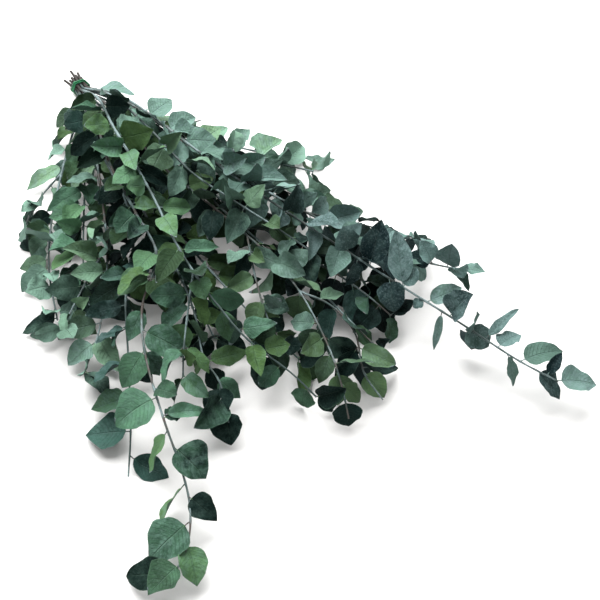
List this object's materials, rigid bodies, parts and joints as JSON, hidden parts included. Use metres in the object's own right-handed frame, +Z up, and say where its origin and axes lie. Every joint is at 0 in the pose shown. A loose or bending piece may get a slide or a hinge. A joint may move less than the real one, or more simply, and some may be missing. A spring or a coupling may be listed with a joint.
{
  "type": "bunch of eucalyptus branches",
  "caption": "Tied bunch of preserved eucalyptus branches with broad pointed leaves, lying fanned out, held near the cut ends by a green rubber band",
  "frame": {"origin": "on the surface that the bunch lies on, under the middle of its bounding box", "axes": "+X runs from the tied cut ends towards the leafy tips, +Z is up, and +Y completes a right-handed frame"},
  "size_m": [0.7529, 0.4793, 0.1115],
  "materials": {
    "pale_leaf": "matte, pale grey-green leaves",
    "fresh_leaf": "matte, mid-green leaves",
    "deep_leaf": "matte, dark green leaves",
    "dusty_leaf": "matte, blue-green leaves with a pale bloom",
    "green_rubber": "satin, bright green"
  },
  "bodies": {
    "root": {"left_edge_branch": "pale_leaf", "low_core_branch": "fresh_leaf", "low_right_core_branch": "deep_leaf", "top_edge_branch": "pale_leaf", "left_inner_branch": "fresh_leaf", "left_branch": "pale_leaf", "middle_branch": "fresh_leaf", "lower_right_branch": "deep_leaf", "upper_branch": "pale_leaf", "bare_tip_branch": "deep_leaf", "long_left_branch": "fresh_leaf", "right_bend_branch": "pale_leaf", "upper_right_branch": "dusty_leaf", "crest_branch": "fresh_leaf", "inner_right_branch": "pale_leaf", "far_right_branch": "dusty_leaf", "rubber_band": "green_rubber"}
  },
  "joints": []
}
